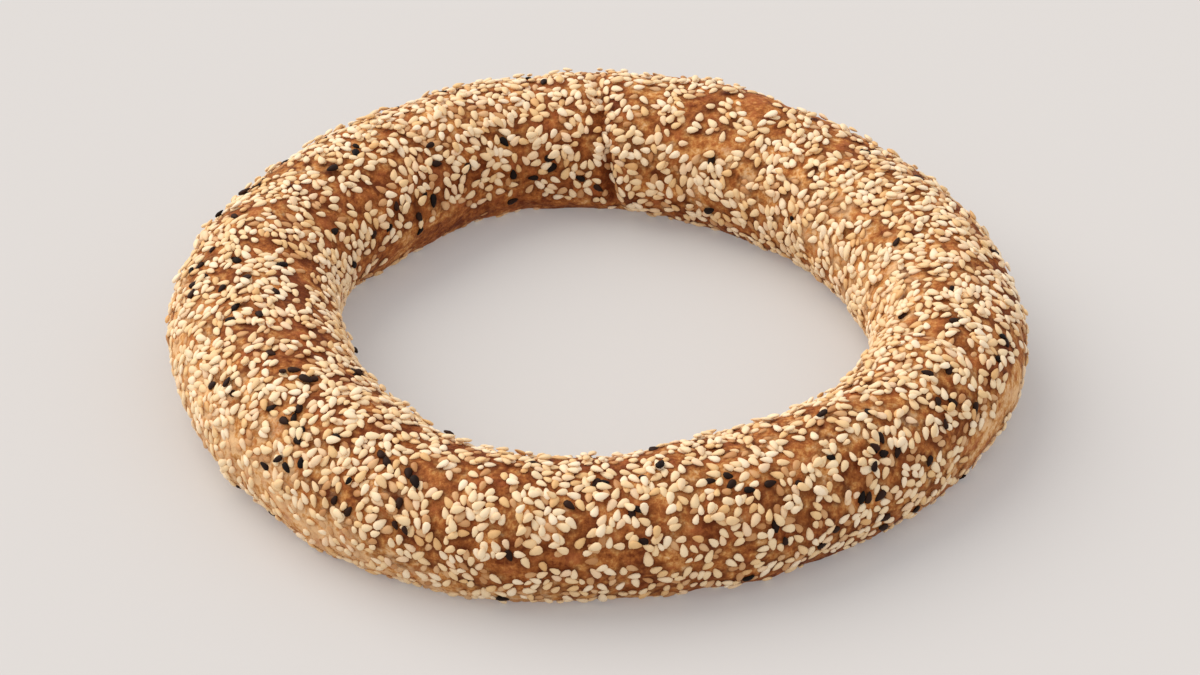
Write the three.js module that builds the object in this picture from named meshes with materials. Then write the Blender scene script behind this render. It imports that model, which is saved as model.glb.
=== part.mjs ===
// A sesame bread ring, the thin and wide kind of bagel: one rope of dough, rolled by hand, joined
// end to end and baked in one piece. Millimetres, +Z up, lying on its flat underside at z = 0.

import * as THREE from 'three';
import { ParametricGeometry } from 'three/addons/geometries/ParametricGeometry.js';

// Stations along the rope, evenly spaced anticlockwise from +X. Each one gives how far the rope's
// middle lies from the ring's, and how wide the rope is there, over its seeds.
const ropeStations = [
  { radius: 71.5, width: 34 },
  { radius: 68.5, width: 35 },
  { radius: 67, width: 35 },
  { radius: 67.5, width: 35.5 },
  { radius: 69.5, width: 34.5 },
  { radius: 70, width: 33 },
  { radius: 68, width: 35 },
  { radius: 70, width: 35 },
  { radius: 70.5, width: 37 },
  { radius: 70.5, width: 37.5 },
  { radius: 71.5, width: 36.5 },
  { radius: 73, width: 33 },
  { radius: 70.5, width: 31.5 },
  { radius: 69.5, width: 33 },
  { radius: 70.5, width: 33 },
  { radius: 73, width: 33.5 },
];

const meanWidth = 34.5;        // of the rope, over its seeds
const meanHeight = 27;         // from the underside to the top
const heightGain = 0.5;        // a stretch that is 1 mm wider stands this much taller
const beltLevel = 0.45;        // the rope is widest at this share of its height
const lowerDepth = 0.57;       // share that its lower half would reach down, were it not resting

const ropeSteps = 96;
const sectionSteps = 24;
const stepAside = 0.001;       // share of a turn, for the rope's direction

const ropeProfile = new THREE.CatmullRomCurve3(
  ropeStations.map(({ radius, width }) => new THREE.Vector3(radius, width, 0)),
  true, 'catmullrom', 0.5,
);

function ropeWidth(turn) {
  return ropeProfile.getPoint(turn).y;
}

function ropeMiddle(turn) {
  const angle = turn * 2 * Math.PI;
  const wrapped = turn - Math.floor(turn);
  const radius = ropeProfile.getPoint(wrapped).x;
  return new THREE.Vector3(radius * Math.cos(angle), radius * Math.sin(angle), 0);
}

// The rope's outward direction: level, and square to the way it runs.
function ropeOutward(turn) {
  const along = ropeMiddle(turn + stepAside).sub(ropeMiddle(turn - stepAside)).normalize();
  return new THREE.Vector3(along.y, -along.x, 0);
}

// One section, from the outer edge over the top and back below. Its shares are of half the width
// and of the height. The lower half bulges past the table, and is cut off flat there.
function sectionShares(turn) {
  const angle = turn * 2 * Math.PI;
  const rise = Math.sin(angle);
  const reach = rise > 0 ? 1 - beltLevel : lowerDepth;
  return { across: Math.cos(angle), up: Math.max(beltLevel + reach * rise, 0) };
}

function crustPoint(ropeTurn, sectionTurn, target) {
  const width = ropeWidth(ropeTurn);
  const height = meanHeight + heightGain * (width - meanWidth);
  const { across, up } = sectionShares(sectionTurn);
  target.copy(ropeMiddle(ropeTurn)).addScaledVector(ropeOutward(ropeTurn), across * width / 2);
  target.z = up * height;
}

function breadRing() {
  const geometry = new ParametricGeometry(crustPoint, ropeSteps, sectionSteps);
  geometry.computeBoundingBox();
  const middle = geometry.boundingBox.getCenter(new THREE.Vector3());
  geometry.translate(-middle.x, -middle.y, 0);
  const crust = new THREE.MeshStandardMaterial({ color: 0xbb9169, roughness: 0.65, metalness: 0 });
  const ring = new THREE.Mesh(geometry, crust);
  ring.name = 'bread_ring';
  return ring;
}

const bagel = new THREE.Group();
bagel.add(breadRing());

export default bagel;
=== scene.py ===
import math

import bpy
import numpy as np
from mathutils import Matrix, Vector


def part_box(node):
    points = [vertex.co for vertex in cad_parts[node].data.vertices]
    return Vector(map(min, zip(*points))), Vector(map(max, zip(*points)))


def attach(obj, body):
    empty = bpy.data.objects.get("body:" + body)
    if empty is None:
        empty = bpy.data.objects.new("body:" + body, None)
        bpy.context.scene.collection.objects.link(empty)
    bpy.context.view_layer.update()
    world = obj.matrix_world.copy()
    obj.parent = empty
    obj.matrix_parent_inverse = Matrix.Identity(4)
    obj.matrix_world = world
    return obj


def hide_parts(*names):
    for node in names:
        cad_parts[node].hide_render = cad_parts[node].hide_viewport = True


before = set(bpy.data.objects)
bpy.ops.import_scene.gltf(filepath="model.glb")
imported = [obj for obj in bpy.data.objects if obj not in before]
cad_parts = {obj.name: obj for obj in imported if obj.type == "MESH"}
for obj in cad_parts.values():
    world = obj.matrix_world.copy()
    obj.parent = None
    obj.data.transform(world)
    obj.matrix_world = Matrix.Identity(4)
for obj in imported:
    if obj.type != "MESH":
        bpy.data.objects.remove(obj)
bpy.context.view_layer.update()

# A sesame bread ring: the crust is lofted along the rope of dough, and the seeds are scattered over it.
# Sizes are in millimetres until mm turns them to metres. Ring angles run anticlockwise from +X. Section
# angles run from the outer edge, 0, over the top, 90, and the inner edge, 180, to the underside, 270.
mm = 0.001


def srgb(hexColour):
    parts = [int(hexColour[i:i + 2], 16) / 255 for i in (1, 3, 5)]
    linear = [p / 12.92 if p <= 0.04045 else ((p + 0.055) / 1.055) ** 2.4 for p in parts]
    return (*linear, 1.0)


# Adds a node of any kind. Inputs are named or numbered: a socket is linked, anything else is set.
def add(tree, kind, inputs=None, stops=None, **settings):
    node = tree.nodes.new(kind)
    for name, value in settings.items():
        setattr(node, name, value)
    for key, value in (inputs or {}).items():
        if isinstance(value, bpy.types.NodeSocket):
            tree.links.new(value, node.inputs[key])
        else:
            node.inputs[key].default_value = value
    if stops:
        ramp = node.color_ramp
        while len(ramp.elements) < len(stops):
            ramp.elements.new(0.5)
        for element, (place, colour) in zip(ramp.elements, stops):
            element.position = place
            element.color = srgb(colour)
    return node


# A geometry tree with one named input for each size, for the modifier to fill in.
def newTree(name, sizes):
    tree = bpy.data.node_groups.new(name, "GeometryNodeTree")
    tree.interface.new_socket("Geometry", in_out="OUTPUT", socket_type="NodeSocketGeometry")
    tree.interface.new_socket("Geometry", in_out="INPUT", socket_type="NodeSocketGeometry")
    for label, value in sizes.items():
        socket = tree.interface.new_socket(label, in_out="INPUT", socket_type="NodeSocketFloat")
        socket.default_value = value
    return tree, tree.nodes.new("NodeGroupInput").outputs


# Runs a geometry tree on a mesh and keeps what comes out as a plain object of its own.
def grow(name, mesh, tree, sizes):
    start = bpy.data.objects.new(name + ".start", mesh)
    bpy.context.scene.collection.objects.link(start)
    modifier = start.modifiers.new("grow", "NODES")
    modifier.node_group = tree
    for item in tree.interface.items_tree:
        if item.in_out == "INPUT" and item.name in sizes:
            modifier[item.identifier] = sizes[item.name]
    grown = bpy.data.meshes.new_from_object(start.evaluated_get(bpy.context.evaluated_depsgraph_get()))
    grown.name = name
    bpy.data.objects.remove(start)
    piece = bpy.data.objects.new(name, grown)
    bpy.context.scene.collection.objects.link(piece)
    return piece


print("stage: camera and lights")
view = {
    "elevation": 35,              # degrees above the table
    "lens": 135,                  # millimetres
    "distance": 0.927,            # metres, as the point that it looks at
    "aim": (0.0005, -0.0074, 0.012),
}


def placeCamera():
    tilt = math.radians(view["elevation"])
    camera = bpy.data.objects.new("camera", bpy.data.cameras.new("camera"))
    camera.data.lens = view["lens"]
    camera.data.sensor_width = 36
    camera.data.clip_start = 0.01
    back = Vector((0, -math.cos(tilt), math.sin(tilt)))
    camera.location = Vector(view["aim"]) + back * view["distance"]
    camera.rotation_euler = (math.pi / 2 - tilt, 0, 0)
    bpy.context.scene.collection.objects.link(camera)
    bpy.context.scene.camera = camera


placeCamera()

studio = {
    "keyStrength": 2.1,
    "keySpread": 60,              # degrees across: the softness of its shadows
    "keyFrom": (-0.72, 0.42, 0.85),    # from the far left, high up
    "keyColour": "#FFF7EC",
    "skyStrength": 0.78,
    "skyColour": "#FBFBFF",
    "floor": "#B5B3B1",
    "floorGlow": 0.2,
    "floorGlowColour": "#FFF9F4",
}


def lightStudio():
    scene = bpy.context.scene
    scene.view_settings.view_transform = "Standard"
    key = bpy.data.objects.new("key", bpy.data.lights.new("key", "SUN"))
    key.data.energy = studio["keyStrength"]
    key.data.angle = math.radians(studio["keySpread"])
    key.data.color = srgb(studio["keyColour"])[:3]
    key.rotation_euler = Vector(studio["keyFrom"]).to_track_quat("Z", "Y").to_euler()
    scene.collection.objects.link(key)
    world = bpy.data.worlds.new("studio")
    world.use_nodes = True
    sky = world.node_tree.nodes["Background"]
    sky.inputs["Color"].default_value = srgb(studio["skyColour"])
    sky.inputs["Strength"].default_value = studio["skyStrength"]
    scene.world = world


def layFloor():
    half = 3.0                    # metres
    mesh = bpy.data.meshes.new("floor")
    corners = [(-half, -half, 0), (half, -half, 0), (half, half, 0), (-half, half, 0)]
    mesh.from_pydata(corners, [], [(0, 1, 2, 3)])
    floor = bpy.data.objects.new("floor", mesh)
    bpy.context.scene.collection.objects.link(floor)
    # Matt white light table: no gloss, and a faint glow that keeps the shadows thin.
    board = bpy.data.materials.new("matt light table")
    board.use_nodes = True
    shader = board.node_tree.nodes["Principled BSDF"]
    shader.inputs["Base Color"].default_value = srgb(studio["floor"])
    shader.inputs["Roughness"].default_value = 0.95
    shader.inputs["Specular IOR Level"].default_value = 0.0
    shader.inputs["Emission Color"].default_value = srgb(studio["floorGlowColour"])
    shader.inputs["Emission Strength"].default_value = studio["floorGlow"]
    mesh.materials.append(board)


lightStudio()
layFloor()

print("stage: crust")
crust = {
    # millimetres: how far the rope's middle lies from the ring's, and the rope's width over its seeds
    "stations": [(71.5, 34), (68.5, 35), (67, 35), (67.5, 35.5), (69.5, 34.5), (70, 33), (68, 35),
                 (70, 35), (70.5, 37), (70.5, 37.5), (71.5, 36.5), (73, 33), (70.5, 31.5), (69.5, 33),
                 (70.5, 33), (73, 33.5)],
    "meanWidth": 34.5,
    "meanHeight": 27,
    "heightGain": 0.5,            # a stretch that is 1 mm wider stands this much taller
    "beltLevel": 0.45,            # widest at this share of its height
    "lowerDepth": 0.57,           # share that its lower half would reach down, were it not resting
    "coat": 1.3,                  # the seeds stand this far out of it, its lumps included
    "sole": 0.3,                  # its flat underside stands this far off the table, on its seeds
    "alongSteps": 600,
    "aroundSteps": 160,
    # where the rope's ends were joined, and two smaller folds: ring angle at the top of the rope, how the
    # line leans, the groove's depth and width, the swelling on its clockwise side and how far off that
    # is, and the section angles between which it shows
    "folds": [
        {"ring": 90, "lean": -0.045, "depth": 2.4, "width": 1.8, "swell": 1.3, "reach": 6,
         "from": 62, "to": 225},
        {"ring": 339, "lean": 0.05, "depth": 0.8, "width": 1.5, "swell": 0.3, "reach": 5,
         "from": 20, "to": 175},
        {"ring": 220, "lean": 0.04, "depth": 0.9, "width": 1.4, "swell": 0.3, "reach": 4,
         "from": -60, "to": 22},
    ],
    "foldEnd": 22,                # degrees of section over which a fold dies away
    # places pressed in or swollen: ring angle, section angle, how far each way in degrees, millimetres
    "dents": [
        # the outer side below its widest place
        (211, -24, 8, 25, 0.5), (222, -20, 12, 40, -1.0), (246, -25, 8, 35, -1.1), (268, -30, 30, 40, -0.8),
        (275, -29, 8, 25, -0.5), (290, -40, 7, 20, 0.8), (306, -28, 6, 35, -0.6), (328, -18, 7, 40, -1.5),
        # the outer side above it, and the top
        (357, 15, 12, 30, 0.5), (41, 64, 6, 30, -0.4), (45, 90, 25, 60, -0.5), (61, 65, 11, 30, 0.8),
        (90, 80, 14, 40, -0.6), (97, 73, 5, 20, 0.6), (105, 69, 8, 25, -0.5), (111, 60, 9, 30, 0.8),
        (155, 58, 9, 30, -0.7), (173, 27, 9, 30, 0.6),
        # the inner side
        (40, 205, 22, 35, -0.9), (65, 217, 9, 25, -0.4), (74, 215, 8, 20, 0.8), (97, 165, 8, 35, -0.9),
        (132, 205, 35, 35, -0.9), (195, 158, 9, 30, 0.6), (243, 122, 18, 30, 0.3), (284, 122, 4, 25, 0.4),
        (295, 116, 4, 25, -0.9), (299, 119, 7, 20, -0.5), (322, 128, 8, 25, -0.4),
    ],
    "relief": {
        "Lump size": 18 * mm, "Lump height": 1.4 * mm,
        "Blister size": 5 * mm, "Blister height": 0.7 * mm,
        "Grain size": 1.7 * mm, "Grain height": 0.22 * mm,
        "Sole": 0.3 * mm,
    },
    "browning": 0.5,              # of the belt, from 0, pale, to 1, dark
    "browningOnTop": 0.12,        # how much browner the top is, and the underside paler
    "tones": [(0.0, "#EFC18C"), (0.25, "#D79956"), (0.55, "#B0682F"), (1.0, "#73330C")],
    "patchSize": 6 * mm,          # of its mottling
    "patchContrast": 2.2,
    "speckSize": 1.3 * mm,
    "speckContrast": 1.6,
    "flushSize": 4 * mm,
    "flush": "#B26236",           # where the heat reddened it
    # painted shade round each seed's foot, and syrup pooled in the bare places, take this colour
    "footShadeAndSyrupColour": "#602906",
}


# The smooth closed curve through evenly spaced values, at a share of the whole turn.
def aroundRing(values, turn):
    count = len(values)
    place = np.mod(turn, 1) * count
    first = np.floor(place).astype(int)
    f = place - first
    a, b, c, d = (values[(first + step) % count] for step in (-1, 0, 1, 2))
    return b + 0.5 * f * (c - a + f * (2 * a - 5 * b + 4 * c - d + f * (3 * b - a - 3 * c + d)))


def ropeMiddle(turn):
    radius = aroundRing(np.array([r for r, _ in crust["stations"]]), turn)
    angle = 2 * np.pi * turn
    return np.stack([radius * np.cos(angle), radius * np.sin(angle)], axis=-1)


# Distance along the rope from a fold's line, in millimetres, and how much of the fold there is.
def foldPlace(fold, ringAngle, sectionAngle, radius):
    line = fold["ring"] + fold["lean"] * (sectionAngle - 90)
    off = np.mod(line - ringAngle + 180, 360) - 180
    comesIn = np.clip((sectionAngle - fold["from"]) / crust["foldEnd"], 0, 1)
    diesAway = np.clip((fold["to"] - sectionAngle) / crust["foldEnd"], 0, 1)
    return np.radians(off) * radius, comesIn * diesAway


def foldLift(ringAngle, sectionAngle, radius):
    lift = np.zeros(np.broadcast(ringAngle, sectionAngle).shape)
    for fold in crust["folds"]:
        off, shown = foldPlace(fold, ringAngle, sectionAngle, radius)
        groove = np.exp(-(off / fold["width"]) ** 2)
        swelling = np.exp(-((off - fold["reach"]) / fold["reach"]) ** 2)
        lift += shown * (fold["swell"] * swelling - fold["depth"] * groove)
    return lift


# Patches on the rope: ring angle, section angle, how far they spread each way in degrees, and amount.
def patchSum(patches, ringAngle, sectionAngle):
    total = np.zeros(np.broadcast(ringAngle, sectionAngle).shape)
    for ring, section, ringSpread, sectionSpread, amount in patches:
        alongOff = (np.mod(ringAngle - ring + 180, 360) - 180) / ringSpread
        aroundOff = (np.mod(sectionAngle - section + 180, 360) - 180) / sectionSpread
        total += amount * np.exp(-alongOff ** 2 - aroundOff ** 2)
    return total


# Points of the crust in rows along the rope, in millimetres, centred as the frame is.
def crustPoints():
    turn = np.arange(crust["alongSteps"])[:, None] / crust["alongSteps"]
    # a section is walked from its underside, so that the join of its map lies there
    section = np.radians(np.arange(crust["aroundSteps"])[None, :] / crust["aroundSteps"] * 360 - 90)
    sectionAngle = np.degrees(section)
    width = aroundRing(np.array([w for _, w in crust["stations"]]), turn)
    height = crust["meanHeight"] + crust["heightGain"] * (width - crust["meanWidth"]) - crust["coat"]
    step = 0.001                  # of a turn, each way
    along = ropeMiddle(turn + step) - ropeMiddle(turn - step)
    along /= np.linalg.norm(along, axis=-1, keepdims=True)
    outward = np.stack([along[..., 1], -along[..., 0]], axis=-1)
    middle = ropeMiddle(turn)
    radius = np.linalg.norm(middle, axis=-1)
    lift = foldLift(360 * turn, sectionAngle, radius) + patchSum(crust["dents"], 360 * turn, sectionAngle)
    rise = np.sin(section)
    up = crust["beltLevel"] + np.where(rise > 0, 1 - crust["beltLevel"], crust["lowerDepth"]) * rise
    across = (width / 2 - crust["coat"] + lift) * np.cos(section)
    flat = middle + outward * across[..., None]
    z = np.maximum(up * height + lift * np.maximum(rise, 0), crust["sole"])
    low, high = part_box("bread_ring")
    boxMiddle = np.array([(low[0] + high[0]) / 2, (low[1] + high[1]) / 2]) / mm
    ownMiddle = (flat.min(axis=(0, 1)) + flat.max(axis=(0, 1))) / 2
    return np.concatenate([flat + boxMiddle - ownMiddle, z[..., None]], axis=-1), turn * 360, sectionAngle


# A closed mesh from rows of points that run round both ways.
def gridMesh(name, points):
    rows, columns = points.shape[:2]
    row = np.arange(rows)[:, None]
    column = np.arange(columns)[None, :]
    nextRow, nextColumn = (row + 1) % rows, (column + 1) % columns
    faces = np.stack([row * columns + column, nextRow * columns + column,
                      nextRow * columns + nextColumn, row * columns + nextColumn], axis=-1)
    mesh = bpy.data.meshes.new(name)
    mesh.from_pydata(points.reshape(-1, 3).tolist(), [], faces.reshape(-1, 4).tolist())
    return mesh


# Lumps, blisters and fine grain, each a noise of its own size, lifted along the surface's normal.
def reliefTree(sizes):
    tree, given = newTree("crust relief", sizes)
    place = add(tree, "GeometryNodeInputPosition").outputs[0]
    lift = None
    for label, depth, seedOffset in (("Lump", 1.0, 3.0), ("Blister", 2.0, 11.0), ("Grain", 1.0, 23.0)):
        scale = add(tree, "ShaderNodeMath", {0: 1.0, 1: given[label + " size"]}, operation="DIVIDE")
        noise = add(tree, "ShaderNodeTexNoise", {"Vector": place, "W": seedOffset, "Scale": scale.outputs[0],
                                                 "Detail": depth, "Roughness": 0.5}, noise_dimensions="4D")
        # the noise runs from 0 to 1, and the lift from minus its height to plus that
        centred = add(tree, "ShaderNodeMath", {0: noise.outputs[0], 1: 0.5}, operation="SUBTRACT")
        share = add(tree, "ShaderNodeMath", {0: centred.outputs[0], 1: given[label + " height"]},
                    operation="MULTIPLY")
        twice = add(tree, "ShaderNodeMath", {0: share.outputs[0], 1: 2.0}, operation="MULTIPLY")
        if lift is None:
            lift = twice.outputs[0]
        else:
            lift = add(tree, "ShaderNodeMath", {0: lift, 1: twice.outputs[0]}, operation="ADD").outputs[0]
    normal = add(tree, "GeometryNodeInputNormal").outputs[0]
    offset = add(tree, "ShaderNodeVectorMath", {0: normal, "Scale": lift}, operation="SCALE")
    lifted = add(tree, "GeometryNodeSetPosition",
                 {"Geometry": given["Geometry"], "Offset": offset.outputs[0]})
    # the table presses flat whatever would reach below the sole
    parts = add(tree, "ShaderNodeSeparateXYZ", {0: add(tree, "GeometryNodeInputPosition").outputs[0]})
    floored = add(tree, "ShaderNodeMath", {0: parts.outputs["Z"], 1: given["Sole"]}, operation="MAXIMUM")
    pressed = add(tree, "ShaderNodeCombineXYZ", {"X": parts.outputs["X"], "Y": parts.outputs["Y"],
                                                 "Z": floored.outputs[0]})
    laid = add(tree, "GeometryNodeSetPosition",
               {"Geometry": lifted.outputs[0], "Position": pressed.outputs[0]})
    add(tree, "NodeGroupOutput", {0: laid.outputs[0]})
    return tree


# Baked bread crust: egg-brown where the oven's heat reached it most, paler low down, satin from the syrup
# dip, with painted shade round the seeds' feet.
def bakedCrust():
    material = bpy.data.materials.new("baked bread crust")
    material.use_nodes = True
    tree = material.node_tree
    shader = tree.nodes["Principled BSDF"]
    place = add(tree, "ShaderNodeTexCoord").outputs["Object"]
    browning = add(tree, "ShaderNodeAttribute", attribute_name="browning").outputs["Fac"]
    patches = add(tree, "ShaderNodeTexNoise", {"Vector": place, "Scale": 1 / crust["patchSize"],
                                               "Detail": 4.0, "Roughness": 0.7})
    specks = add(tree, "ShaderNodeTexNoise", {"Vector": place, "Scale": 1 / crust["speckSize"],
                                              "Detail": 3.0, "Roughness": 0.7})
    tone = browning
    for noise, contrast in ((patches, crust["patchContrast"]), (specks, crust["speckContrast"])):
        change = add(tree, "ShaderNodeMath", {0: noise.outputs[0], 1: contrast, 2: -contrast / 2},
                     operation="MULTIPLY_ADD")
        tone = add(tree, "ShaderNodeMath", {0: tone, 1: change.outputs[0]}, operation="ADD").outputs[0]
    colour = add(tree, "ShaderNodeValToRGB", {0: tone}, stops=crust["tones"])
    flush = add(tree, "ShaderNodeTexNoise", {"Vector": place, "W": 5.0, "Scale": 1 / crust["flushSize"],
                                             "Detail": 2.0, "Roughness": 0.6}, noise_dimensions="4D")
    red = add(tree, "ShaderNodeMapRange", {"Value": flush.outputs[0], "From Min": 0.52, "From Max": 0.7,
                                           "To Min": 0.0, "To Max": 0.6})
    flushed = add(tree, "ShaderNodeMix", {0: red.outputs[0], 6: colour.outputs[0], 7: srgb(crust["flush"])},
                  data_type="RGBA")
    # painted shade round the foot of every seed darkens the crust between the seeds, and syrup pools in the
    # bare places; it is patchy, and strongest where the crust is browner
    syrup = add(tree, "ShaderNodeAttribute", attribute_name="syrup").outputs["Fac"]
    uneven = add(tree, "ShaderNodeMapRange", {"Value": flush.outputs[0], "From Min": 0.35, "From Max": 0.65,
                                              "To Min": 1.0, "To Max": 0.35})
    browner = add(tree, "ShaderNodeMapRange", {"Value": browning, "From Min": 0.05, "From Max": 0.3,
                                               "To Min": 0.25, "To Max": 1.0})
    patchy = add(tree, "ShaderNodeMath", {0: uneven.outputs[0], 1: browner.outputs[0]}, operation="MULTIPLY")
    amount = add(tree, "ShaderNodeMath", {0: syrup, 1: patchy.outputs[0]}, operation="MULTIPLY")
    footShadedCrust = add(tree, "ShaderNodeMix", {0: amount.outputs[0], 6: flushed.outputs[2],
                                         7: srgb(crust["footShadeAndSyrupColour"])}, data_type="RGBA")
    bump = add(tree, "ShaderNodeBump", {"Height": specks.outputs[0], "Strength": 1.0, "Distance": 0.5 * mm})
    gloss = add(tree, "ShaderNodeMapRange", {"Value": specks.outputs[0], "From Min": 0.3, "From Max": 0.7,
                                             "To Min": 0.6, "To Max": 0.8})
    tree.links.new(footShadedCrust.outputs[2], shader.inputs["Base Color"])
    tree.links.new(gloss.outputs[0], shader.inputs["Roughness"])
    tree.links.new(bump.outputs[0], shader.inputs["Normal"])
    shader.inputs["IOR"].default_value = 1.45
    shader.inputs["Specular IOR Level"].default_value = 0.2
    return material


# Where the crust is browner or paler, mostly from the oven, with a few patches of painted shade and painted
# light: ring angle, section angle, how far each way in degrees, change.
browningLightAndShade = [
    # browner at the foot of the join, beside it and over the far rim, and darker low on the far inner side,
    # which is painted shade
    (87, 155, 2.5, 45, 0.5), (98, 170, 8, 35, 0.15), (80, 52, 62, 13, 0.15), (65, 213, 14, 16, 0.4),
    (110, 205, 45, 25, 0.3),
    # browner on the inner side of the top, from the far left round to the near side
    (120, 156, 12, 15, 0.2), (149, 141, 14, 25, 0.2), (190, 118, 25, 13, 0.3), (200, 90, 45, 50, 0.03),
    (260, 108, 45, 14, 0.2),
    # browner on the outer side, at the near side and the right
    (276, 0, 30, 34, 0.1), (305, -40, 28, 25, 0.3), (20, 25, 40, 18, 0.3),
    # paler on the outer side, at the left and the near left
    (185, 30, 15, 22, -0.2), (185, 10, 15, 25, -0.3), (212, -8, 24, 34, -0.45), (215, 38, 24, 42, -0.34),
    (229, -26, 18, 25, -0.4), (250, -42, 30, 18, -0.35),
    # paler at the right on both sides, and on the far inner side high up, which is painted light on a wall
    # in shade
    (338, 5, 14, 22, -0.4), (335, 156, 18, 18, -0.3), (340, 130, 25, 30, -0.2), (12, 160, 40, 50, -0.35),
    (75, 165, 30, 32, -0.15),
    # a little paler on the top, at the far side, the right and the near right
    (4, 85, 28, 42, -0.12), (58, 105, 28, 50, -0.1), (85, 80, 8, 25, -0.2), (124, 95, 18, 40, -0.13),
    (152, 72, 24, 45, -0.17), (288, 72, 16, 20, -0.22), (316, 75, 20, 40, -0.1), (325, 75, 20, 25, -0.2),
]


def makeCrust():
    points, ringAngle, sectionAngle = crustPoints()
    mesh = gridMesh("crust", points * mm)
    piece = grow("crust", mesh, reliefTree(crust["relief"]), crust["relief"])
    rise = np.sin(np.radians(sectionAngle))
    # in a few places the patches add painted shade and painted light to the browning
    browning = crust["browning"] + crust["browningOnTop"] * rise + patchSum(browningLightAndShade, ringAngle, sectionAngle)
    layer = piece.data.attributes.new("browning", "FLOAT", "POINT")
    layer.data.foreach_set("value", np.clip(browning, 0, 1).astype(np.float32).ravel())
    # four strips of rope side by side, each closed by its own copy of the next one's first row
    rows, columns = points.shape[:2]
    strips = 4
    margin = 0.006                # as a share of the map's side
    row, column = np.divmod(np.arange(rows * columns), columns)
    perStrip = rows // strips
    corners = []
    for rowStep, columnStep in ((0, 0), (1, 0), (1, 1), (0, 1)):
        u = margin + (column + columnStep) / columns * (1 / strips - 2 * margin) + row // perStrip / strips
        v = margin + (row % perStrip + rowStep) / perStrip * (1 - 2 * margin)
        corners.append(np.stack([u, v], axis=-1))
    unwrap = piece.data.uv_layers.new(name="OFBake")
    unwrap.data.foreach_set("uv", np.stack(corners, axis=1).astype(np.float32).ravel())
    piece.data.materials.append(bakedCrust())
    piece.data.shade_smooth()
    return piece, ringAngle, sectionAngle


crustPiece, ringAngles, sectionAngles = makeCrust()

print("stage: sesame")
sesame = {
    # millimetres and degrees
    "length": 2.65,
    "width": 1.62,
    "thickness": 0.84,
    "taper": 0.58,                # how much narrower the pointed end is
    "sizeSpread": 0.11,
    "sizeLimits": (0.65, 1.25),
    "perSquare": 5,               # places tried in a square millimetre; most are found to be taken
    "closeness": 0.72,            # how near two seeds' edges may come, as a share of touching
    "stand": 0.17,                # how far a seed's middle stands above the crust
    "standSpread": 0.05,
    "offTable": 0.1,              # the least gap between a seed and the table
    "tilt": 13,                   # few lean further
    # how the way that they point swings to and fro: how far in radians, waves round the ring, waves round
    # a section, and where it starts
    "lay": [(1.3, 5, 2.1, 0), (1.1, 11, -1.3, 1.0)],
    "laySpread": 0.75,            # radians
    "cover": 0.98,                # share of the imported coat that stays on
    "coverLimits": (0.02, 1.3),
    "clumpSize": (4, 8.5),        # from one clump to the next
    "clumping": 0.55,             # how much fuller and barer it gets from place to place
    "barest": 0.05,               # share that stays on between the clumps
    "under": (-22, 205),          # section angles past which the coat thins towards the underside
    "underFade": 30,
    "underLoss": 0.62,
    "flatBelow": -0.9,            # a normal that points this far down is the flat underside's
    "syrup": 0.4,                 # how far the painted shade round a seed's foot reaches
    "footShadeHeld": 0.9,
    "footShadeRunOff": 0.5,           # how much less painted shade the full places hold
    "syrupPooled": 0.12,          # how much syrup lies pooled in the bare ones
    "piled": 0.09,                # share that lies on top of the others
    "piledSlope": 0.3,            # the least upward part of the normal where a seed can stay piled
    "piledTilt": 18,
    "piledLift": 0.75,
    "glazed": 0.3,                # share of the thinned places where one lies sunk under the syrup instead
    "glazedSink": 0.2,
    "black": 0.01,                # chance of a black one away from the black places
    "golden": 0.16,               # share that is golden
    "goldenToasting": 0.14,       # how much more of them there are where they are toasted more
    "cream": 0.6,                 # share that is golden or cream
    "creamToasting": 0.22,
    "clumpToasting": -1.1,        # the clumps are paler, and the seeds between them more toasted
    "tones": 16,                  # shades of a kind
    "seed": 7,
}

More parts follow.
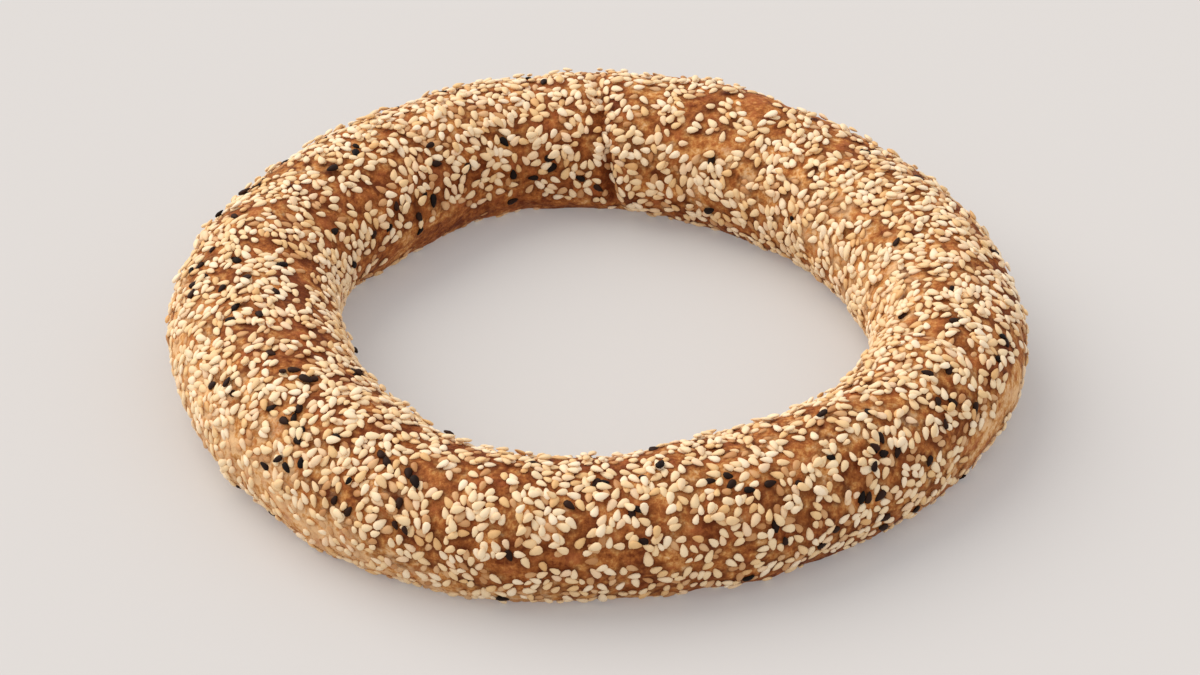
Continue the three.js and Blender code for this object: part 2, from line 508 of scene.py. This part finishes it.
# Fuller and barer places: ring angle, section angle, how far each way in degrees, and change of cover.
coatPatches = [
    # the bare places that show most
    (147, 130, 6, 9, -0.95), (161, 124, 6, 13, -0.95), (153, 140, 5, 8, -0.4), (122, 200, 24, 21, -1),
    (142, 192, 11, 13, -0.95), (98, 215, 14, 12, -0.9), (277, 6, 7, 12, -0.8), (265, 14, 6, 10, -0.45),
    (257, 2, 5, 10, -0.5), (291, -4, 12, 12, -0.35), (216, -6, 16, 16, -0.5), (230, -22, 9, 11, -0.5),
    (62, 60, 20, 14, -0.55), (343, 12, 7, 18, -1), (334, -6, 8, 18, -1), (183, 127, 9, 8, -0.5),
    # gaps a few seeds wide: beside the join, at the right, along the fold there, and at the near side
    (66, 136, 4.5, 10, -1), (60, 128, 3, 9, -1), (60, 86, 4, 10, -1), (42, 124, 4, 9, -1),
    (60, 182, 4, 8, -0.9), (81, 96, 3, 14, -1), (12, 122, 3.5, 6, -0.9), (2, 118, 3.5, 6, -0.9),
    (72, 110, 3, 6, -0.8), (52, 100, 3, 7, -0.8), (30, 134, 3, 7, -0.8), (100, 165, 6, 16, -0.3),
    (344, 95, 3, 5, -0.8), (337, 100, 2, 40, -0.7), (285, 55, 4, 9, -0.6), (256, 75, 5, 20, -0.3),
    # the bottom of the join
    (88.5, 125, 1.3, 14, -0.9), (86.8, 160, 1.3, 14, -0.9), (85.5, 190, 1.3, 16, -0.9),
    # fuller at the left and right, on the far inner side, and low down at the near left
    (190, 55, 24, 50, 0.15), (0, 140, 30, 45, 0.25), (348, 85, 14, 25, 0.05), (287, 75, 16, 15, 0.1),
    (72, 168, 28, 28, 0.12), (212, -42, 20, 14, 0.3),
    # thinner over the far rim, along the inner side of the top, low on the far inner side, and on the
    # top and the outer side at the near side and the right
    (80, 52, 62, 13, -0.4), (65, 100, 25, 40, -0.1), (120, 120, 25, 25, -0.1), (65, 213, 14, 14, -0.5),
    (176, 120, 8, 10, -0.5), (205, 112, 8, 10, -0.4), (200, 105, 25, 25, -0.12), (260, 113, 45, 12, -0.25),
    (190, 60, 25, 60, -0.04), (265, 15, 38, 40, -0.14), (262, 14, 14, 14, -0.1), (302, 45, 9, 35, -0.3),
    (300, -36, 25, 13, -0.4), (20, 25, 40, 18, -0.15), (1, 70, 9, 14, -0.18),
]
# Where black seeds were mixed in: the same, and the chance of one.
blackPlaces = [
    (200, 70, 18, 32, 0.07), (216, 48, 16, 38, 0.045), (238, 35, 13, 45, 0.07), (282, 50, 14, 36, 0.07),
    (313, 52, 14, 22, 0.2), (300, 0, 25, 20, 0.06), (345, 60, 14, 30, 0.04), (358, 85, 18, 16, 0.05),
    (70, 165, 12, 25, 0.04), (90, 130, 4, 14, 0.12), (120, 42, 32, 12, 0.12), (120, 180, 32, 40, 0.06),
    (141, 85, 9, 16, 0.06), (166, 35, 14, 18, 0.05),
]


def unit(vector):
    return vector / np.linalg.norm(vector, axis=-1, keepdims=True)


# Clumps and gaps: a sum of waves in every direction, about 0, at each point.
def clumps(points, draw):
    waves = 24
    direction = unit(draw.normal(size=(waves, 3)))
    length = draw.uniform(*sesame["clumpSize"], waves)
    phase = draw.uniform(0, 2 * np.pi, waves)
    total = np.zeros(points.shape[:-1])
    for toward, span, start in zip(direction, length, phase):
        total += np.sin(2 * np.pi * (points @ toward) / span + start)
    return total / math.sqrt(waves / 2)


# How full the seed coat is; 1 and more is whole.
def coatShare(ringAngle, sectionAngle):
    outerEnd, innerEnd = sesame["under"]
    under = (np.clip((outerEnd - sectionAngle) / sesame["underFade"], 0, 1)
             + np.clip((sectionAngle - innerEnd) / sesame["underFade"], 0, 1))
    share = 1 - sesame["underLoss"] * under + patchSum(coatPatches, ringAngle, sectionAngle)
    return np.clip(share, *sesame["coverLimits"])


# The crust's own points and normals as rows along the rope, with each little patch's area.
def crustSurface():
    shape = (crust["alongSteps"], crust["aroundSteps"], 3)
    points = np.empty(shape[0] * shape[1] * 3, np.float32)
    normals = np.empty_like(points)
    crustPiece.data.vertices.foreach_get("co", points)
    crustPiece.data.vertex_normals.foreach_get("vector", normals)
    points = points.reshape(shape).astype(float) / mm
    normals = normals.reshape(shape).astype(float)
    across = np.roll(points, -1, axis=0) - points
    around = np.roll(points, -1, axis=1) - points
    area = np.linalg.norm(np.cross(across, around), axis=-1)
    return points, normals, area


# Candidates in a random order: place, normal, direction that the seed points in, size, and the row and
# column of the crust's points that it lies beside.
def castSeeds(draw):
    points, normals, area = crustSurface()
    tries = int(area.sum() * sesame["perSquare"])
    cells = draw.choice(area.size, size=tries, p=(area / area.sum()).ravel())
    row, column = np.divmod(cells, area.shape[1])
    nextRow, nextColumn = (row + 1) % area.shape[0], (column + 1) % area.shape[1]
    a, b = draw.random((2, tries, 1))
    place, normal = [(grid[row, column] * (1 - a) + grid[nextRow, column] * a) * (1 - b)
                     + (grid[row, nextColumn] * (1 - a) + grid[nextRow, nextColumn] * a) * b
                     for grid in (points, normals)]
    normal = unit(normal)
    along = points[nextRow, column] - points[row, column]
    along = unit(along - normal * (along * normal).sum(axis=-1, keepdims=True))
    across = np.cross(normal, along)
    ring, section = np.radians(ringAngles[row, 0]), np.radians(sectionAngles[0, column])
    # neighbours tend to lie the same way, as they were rolled
    turn = sum(swing * np.sin(waves * ring + lean * section + start)
               for swing, waves, lean, start in sesame["lay"])
    turn = turn + draw.normal(0, sesame["laySpread"], tries)
    turn = turn + np.pi * draw.integers(0, 2, tries)
    pointing = along * np.cos(turn)[:, None] + across * np.sin(turn)[:, None]
    size = np.clip(draw.normal(1, sesame["sizeSpread"], tries), *sesame["sizeLimits"])
    return place, normal, pointing, size, row, column


# Keeps the candidates that don't run into one kept before, each seen as three discs in a row.
def keepApart(place, pointing, size, most):
    reach = sesame["length"] * 1.15        # no two seeds touch from further off
    inset = 0.92                  # a disc lies a little inside the seed's outline
    discRadius = sesame["width"] / 2 * inset
    discOff = (sesame["length"] / 2 - discRadius) * inset
    offsets = np.array([-1.0, 0.0, 1.0]) * discOff
    cellOf = np.floor(place / reach).astype(int)
    discs = place[:, None, :] + pointing[:, None, :] * (offsets[None, :, None] * size[:, None, None])
    kept, cells = [], {}
    for index in range(len(place)):
        x, y, z = cellOf[index]
        near = []
        for i in (x - 1, x, x + 1):
            for j in (y - 1, y, y + 1):
                for k in (z - 1, z, z + 1):
                    near += cells.get((i, j, k), ())
        if near:
            apart = discs[near][:, :, None, :] - discs[index][None, None, :, :]
            gap = np.sqrt((apart ** 2).sum(axis=-1))
            needed = (size[near] + size[index]) * discRadius * sesame["closeness"]
            if (gap < needed[:, None, None]).any():
                continue
        kept.append(index)
        cells.setdefault((x, y, z), []).append(index)
        if len(kept) == most:
            break
    return np.array(kept)


# Marks on the crust how near each of its points is to the foot of a seed, from 0 to 1, as painted shade
# round the seeds' feet.
def paintSeedFootShade(seeds, fullness):
    points, _, _ = crustSurface()
    rows, columns = points.shape[:2]
    furthest = 7                  # rows and columns looked at each way from a seed
    steps = np.arange(-furthest, furthest + 1)
    nearRow = (seeds["row"][:, None, None] + steps[None, :, None]) % rows
    nearColumn = (seeds["column"][:, None, None] + steps[None, None, :]) % columns
    nearRow, nearColumn = np.broadcast_arrays(nearRow, nearColumn)
    off = points[nearRow, nearColumn] - seeds["place"][:, None, None, :]
    size = seeds["size"][:, None, None]
    alongOff = (off * seeds["pointing"][:, None, None, :]).sum(axis=-1) / size
    acrossOff = (off * seeds["across"][:, None, None, :]).sum(axis=-1) / size
    reachOut = np.hypot(alongOff / (sesame["length"] / 2), acrossOff / (sesame["width"] / 2))
    gap = np.maximum(reachOut - 1, 0) * sesame["width"] / 2
    syrup = np.zeros((rows, columns))
    np.maximum.at(syrup, (nearRow, nearColumn), np.exp(-(gap / sesame["syrup"]) ** 2))
    # the painted shade is weaker in the full places, and syrup pooled in the barer ones darkens them a
    # little
    held = syrup * (sesame["footShadeHeld"] - sesame["footShadeRunOff"] * fullness)
    pooled = sesame["syrupPooled"] * np.minimum(fullness, 0)
    layer = crustPiece.data.attributes.new("syrup", "FLOAT", "POINT")
    layer.data.foreach_set("value", np.clip(held - pooled, 0, 1).astype(np.float32).ravel())


# How each seed is turned: its thickness along the crust's normal, and its tip the way that it points.
def eulers(seeds):
    turns = []
    for axes in zip(seeds["across"], seeds["normal"], seeds["pointing"]):
        turns.append(Matrix(axes).transposed().to_euler())
    return np.array(turns)


# One seed, pointed at its +Z end, set on every point of a mesh.
def seedTree(sizes):
    tree, given = newTree("seeds", sizes)
    ball = add(tree, "GeometryNodeMeshUVSphere", {"Segments": 8, "Rings": 5, "Radius": 1.0})
    parts = add(tree, "ShaderNodeSeparateXYZ", {0: add(tree, "GeometryNodeInputPosition").outputs[0]})
    toTip = add(tree, "ShaderNodeMath", {0: parts.outputs["Z"], 1: 0.5, 2: 0.5}, operation="MULTIPLY_ADD")
    spread = add(tree, "ShaderNodeMath", {0: parts.outputs["X"], 1: 0.4, 2: 0.5}, operation="MULTIPLY_ADD")
    markedAlong = add(tree, "GeometryNodeStoreNamedAttribute",
                      {"Geometry": ball.outputs["Mesh"], "Name": "along", "Value": toTip.outputs[0]})
    marked = add(tree, "GeometryNodeStoreNamedAttribute",
                 {"Geometry": markedAlong.outputs[0], "Name": "across", "Value": spread.outputs[0]})
    narrower = add(tree, "ShaderNodeMath", {0: toTip.outputs[0], 1: given["Taper"]}, operation="MULTIPLY")
    girth = add(tree, "ShaderNodeMath", {0: 1.0, 1: narrower.outputs[0]}, operation="SUBTRACT")
    # the taper takes away from the widest place too, so the ball starts out fuller
    lossAtWidest = 0.43
    fuller = 0.5 * mm / (1 - lossAtWidest * sesame["taper"])
    halves = []
    for axis, label in (("X", "Width"), ("Y", "Thickness")):
        half = add(tree, "ShaderNodeMath", {0: given[label], 1: fuller}, operation="MULTIPLY")
        slim = add(tree, "ShaderNodeMath", {0: half.outputs[0], 1: girth.outputs[0]}, operation="MULTIPLY")
        halves.append(add(tree, "ShaderNodeMath", {0: parts.outputs[axis], 1: slim.outputs[0]},
                          operation="MULTIPLY"))
    halfLength = add(tree, "ShaderNodeMath", {0: given["Length"], 1: 0.5 * mm}, operation="MULTIPLY")
    long = add(tree, "ShaderNodeMath", {0: parts.outputs["Z"], 1: halfLength.outputs[0]},
               operation="MULTIPLY")
    spot = add(tree, "ShaderNodeCombineXYZ", {0: halves[0].outputs[0], 1: halves[1].outputs[0],
                                              2: long.outputs[0]})
    seed = add(tree, "GeometryNodeSetPosition", {"Geometry": marked.outputs[0], "Position": spot.outputs[0]})
    smooth = add(tree, "GeometryNodeSetShadeSmooth", {"Geometry": seed.outputs[0]})
    turn = add(tree, "GeometryNodeInputNamedAttribute", {"Name": "turn"}, data_type="FLOAT_VECTOR")
    rotation = add(tree, "FunctionNodeEulerToRotation", {0: turn.outputs[0]})
    size = add(tree, "GeometryNodeInputNamedAttribute", {"Name": "size"}, data_type="FLOAT")
    laid = add(tree, "GeometryNodeInstanceOnPoints",
               {"Points": given["Geometry"], "Instance": smooth.outputs[0], "Rotation": rotation.outputs[0],
                "Scale": size.outputs[0]})
    real = add(tree, "GeometryNodeRealizeInstances", {"Geometry": laid.outputs[0]})
    # each tone has a column of the map, and every seed of that tone lies over it, tip up
    tone = add(tree, "GeometryNodeInputNamedAttribute", {"Name": "tone"}, data_type="FLOAT")
    sideways = add(tree, "GeometryNodeInputNamedAttribute", {"Name": "across"}, data_type="FLOAT")
    upward = add(tree, "GeometryNodeInputNamedAttribute", {"Name": "along"}, data_type="FLOAT")
    column = add(tree, "ShaderNodeMath", {0: tone.outputs[0], 1: sideways.outputs[0]}, operation="ADD")
    u = add(tree, "ShaderNodeMath", {0: column.outputs[0], 1: given["Tones"]}, operation="DIVIDE")
    v = add(tree, "ShaderNodeMath", {0: upward.outputs[0], 1: 0.96, 2: 0.02}, operation="MULTIPLY_ADD")
    spotOnMap = add(tree, "ShaderNodeCombineXYZ", {0: u.outputs[0], 1: v.outputs[0]})
    mapped = add(tree, "GeometryNodeStoreNamedAttribute",
                 {"Geometry": real.outputs[0], "Name": "OFBake", "Value": spotOnMap.outputs[0]},
                 data_type="FLOAT2", domain="CORNER")
    return tree, mapped.outputs[0]


# Ends a seed tree: the values that it worked with are dropped, and the husk's finish is set.
def finishTree(tree, last, material):
    for name in ("turn", "size", "tone", "along", "across"):
        last = add(tree, "GeometryNodeRemoveAttribute", {"Geometry": last, "Name": name}).outputs[0]
    dressed = add(tree, "GeometryNodeSetMaterial", {"Geometry": last, "Material": material})
    add(tree, "NodeGroupOutput", {0: dressed.outputs[0]})


# Each kind's finish, its tones, the colour of its tip, its roughness and its specular level.
husks = {
    "black_sesame": ("black sesame husk", ["#120804", "#341C10"], "#0C0604", 0.6, 0.15),
    "golden_sesame": ("golden toasted sesame", ["#E2B074", "#EDC48A", "#F4D09C"], "#C08A4E", 0.5, 0.3),
    "cream_sesame": ("cream hulled sesame", ["#F1CB97", "#F5D6A6", "#F3D1AA"], "#DDB07A", 0.5, 0.3),
    "pale_sesame": ("pale hulled sesame", ["#F7DAAD", "#FAE0B8", "#FDE7C6"], "#E2B884", 0.5, 0.3),
    "glazed_sesame": ("syrup-glazed sesame", ["#BE844E", "#CF9A64", "#E0B584"], "#A86A34", 0.45, 0.4),
}


# Toasted sesame: a dry, faintly oily husk, smooth, a little darker at the tip where it grew.
def toastedSesame(name, tones, tip, roughness, specular):
    material = bpy.data.materials.new(name)
    material.use_nodes = True
    tree = material.node_tree
    shader = tree.nodes["Principled BSDF"]
    spot = add(tree, "ShaderNodeSeparateXYZ", {0: add(tree, "ShaderNodeUVMap", uv_map="OFBake").outputs[0]})
    stretched = add(tree, "ShaderNodeMath", {0: spot.outputs["X"], 1: float(sesame["tones"])},
                    operation="MULTIPLY")
    column = add(tree, "ShaderNodeMath", {0: stretched.outputs[0]}, operation="FLOOR")
    tone = add(tree, "ShaderNodeMath", {0: column.outputs[0], 1: float(sesame["tones"] - 1)},
               operation="DIVIDE")
    stops = [(place / (len(tones) - 1), colour) for place, colour in enumerate(tones)]
    husk = add(tree, "ShaderNodeValToRGB", {0: tone.outputs[0]}, stops=stops)
    toTip = add(tree, "ShaderNodeMapRange", {"Value": spot.outputs["Y"], "From Min": 0.6, "From Max": 1.0,
                                             "To Min": 0.0, "To Max": 0.55})
    colour = add(tree, "ShaderNodeMix", {0: toTip.outputs[0], 6: husk.outputs[0], 7: srgb(tip)},
                 data_type="RGBA")
    tree.links.new(colour.outputs[2], shader.inputs["Base Color"])
    shader.inputs["Roughness"].default_value = roughness
    shader.inputs["IOR"].default_value = 1.46
    shader.inputs["Specular IOR Level"].default_value = specular
    return material


# The seeds that stay: a packed coat rubbed thin in places, some piled on it and some sunk in the syrup.
def chooseSeeds(draw):
    place, normal, pointing, size, row, column = castSeeds(draw)
    kept = keepApart(place, pointing, size, len(place))
    free = np.setdiff1d(np.arange(len(place)), kept)
    free = free[normal[free, 2] > sesame["piledSlope"]]
    piled = free[keepApart(place[free], pointing[free], size[free], int(len(kept) * sesame["piled"]))]
    fullness = clumps(crustSurface()[0], draw)
    share = coatShare(ringAngles, sectionAngles)
    share = share * np.clip(sesame["cover"] + sesame["clumping"] * fullness, sesame["barest"], 1)
    piled = piled[draw.random(len(piled)) < share[row[piled], column[piled]]]
    keptShare = share[row[kept], column[kept]]
    luck = draw.random(len(kept))
    glazed = kept[(luck >= keptShare) & (luck < keptShare + sesame["glazed"] * keptShare)]
    kept = kept[luck < keptShare]
    chosen = np.concatenate([kept, piled, glazed])
    counts = [len(kept), len(piled), len(glazed)]
    seeds = {
        "place": place[chosen],
        "normal": normal[chosen],
        "pointing": pointing[chosen],
        "size": size[chosen],
        "row": row[chosen],
        "column": column[chosen],
        "piled": np.repeat([False, True, False], counts),
        "glazed": np.repeat([False, False, True], counts),
    }
    return seeds, fullness


# Leans each seed a little and sets its middle above the crust and clear of the table.
def laySeeds(seeds, draw):
    pointing, normal, size = seeds["pointing"], seeds["normal"], seeds["size"]
    usualShare = 0.6              # of the tilt that is allowed for
    tilt = np.radians(np.where(seeds["piled"], sesame["piledTilt"], sesame["tilt"]))
    tilt = tilt * draw.normal(0, usualShare, len(size))
    tilt = np.where(normal[:, 2] < sesame["flatBelow"], 0, tilt)[:, None]
    pointing, normal = (pointing * np.cos(tilt) + normal * np.sin(tilt),
                        normal * np.cos(tilt) - pointing * np.sin(tilt))
    across = np.cross(normal, pointing)
    stand = sesame["stand"] + seeds["piled"] * sesame["piledLift"] - seeds["glazed"] * sesame["glazedSink"]
    stand = stand + draw.normal(0, sesame["standSpread"], len(size))
    centre = seeds["place"] + normal * stand[:, None]
    hang = np.sqrt((pointing[:, 2] * sesame["length"] / 2 * size) ** 2
                   + (normal[:, 2] * sesame["thickness"] / 2 * size) ** 2
                   + (across[:, 2] * sesame["width"] / 2 * size) ** 2)
    centre[:, 2] = np.maximum(centre[:, 2], hang + sesame["offTable"])
    seeds.update({"pointing": pointing, "normal": normal, "across": across, "centre": centre})


# Which seeds are of each kind; some places are toasted more than others.
def sortSeeds(seeds, fullness, draw):
    ring, section = ringAngles[seeds["row"], 0], sectionAngles[0, seeds["column"]]
    blackChance = sesame["black"] + patchSum(blackPlaces, ring, section)
    mayBeBlack = (seeds["normal"][:, 2] > sesame["flatBelow"]) & ~seeds["glazed"]
    isBlack = mayBeBlack & (draw.random(len(ring)) < blackChance)
    toasting = clumps(crustSurface()[0], draw) + sesame["clumpToasting"] * fullness
    toasting = toasting[seeds["row"], seeds["column"]]
    shade = draw.random(len(ring))
    isPlain = ~isBlack & ~seeds["glazed"]
    isGolden = isPlain & (shade < sesame["golden"] + sesame["goldenToasting"] * toasting)
    isCream = isPlain & ~isGolden & (shade < sesame["cream"] + sesame["creamToasting"] * toasting)
    return {
        "black_sesame": isBlack,
        "golden_sesame": isGolden,
        "cream_sesame": isCream,
        "pale_sesame": isPlain & ~isGolden & ~isCream,
        "glazed_sesame": seeds["glazed"],
    }


# One kind of seed, grown on points that each say how it is turned, its size and its tone.
def growSeeds(name, centre, turns, size, tones):
    mesh = bpy.data.meshes.new(name + ".points")
    mesh.from_pydata((centre * mm).tolist(), [], [])
    for label, kind, field, values in (("turn", "FLOAT_VECTOR", "vector", turns),
                                       ("size", "FLOAT", "value", size), ("tone", "FLOAT", "value", tones)):
        layer = mesh.attributes.new(label, kind, "POINT")
        layer.data.foreach_set(field, values.astype(np.float32).ravel())
    sizes = {"Length": sesame["length"], "Width": sesame["width"], "Thickness": sesame["thickness"],
             "Taper": sesame["taper"], "Tones": float(sesame["tones"])}
    tree, last = seedTree(sizes)
    finishTree(tree, last, toastedSesame(*husks[name]))
    return grow(name, mesh, tree, sizes)


def makeSeeds():
    draw = np.random.default_rng(sesame["seed"])
    seeds, fullness = chooseSeeds(draw)
    laySeeds(seeds, draw)
    # paints shade round each seed's foot onto the crust, as the attribute named syrup
    paintSeedFootShade(seeds, fullness)
    turns = eulers(seeds)
    kinds = sortSeeds(seeds, fullness, draw)
    tones = draw.integers(0, sesame["tones"], len(turns))
    made = {}
    for name, own in kinds.items():
        made[name] = growSeeds(name, seeds["centre"][own], turns[own], seeds["size"][own], tones[own])
        print("  ", name, own.sum(), "seeds")
    return made


seedPieces = makeSeeds()

print("stage: hand over")
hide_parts("bread_ring")
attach(crustPiece, "root")
for name, piece in seedPieces.items():
    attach(piece, "root")
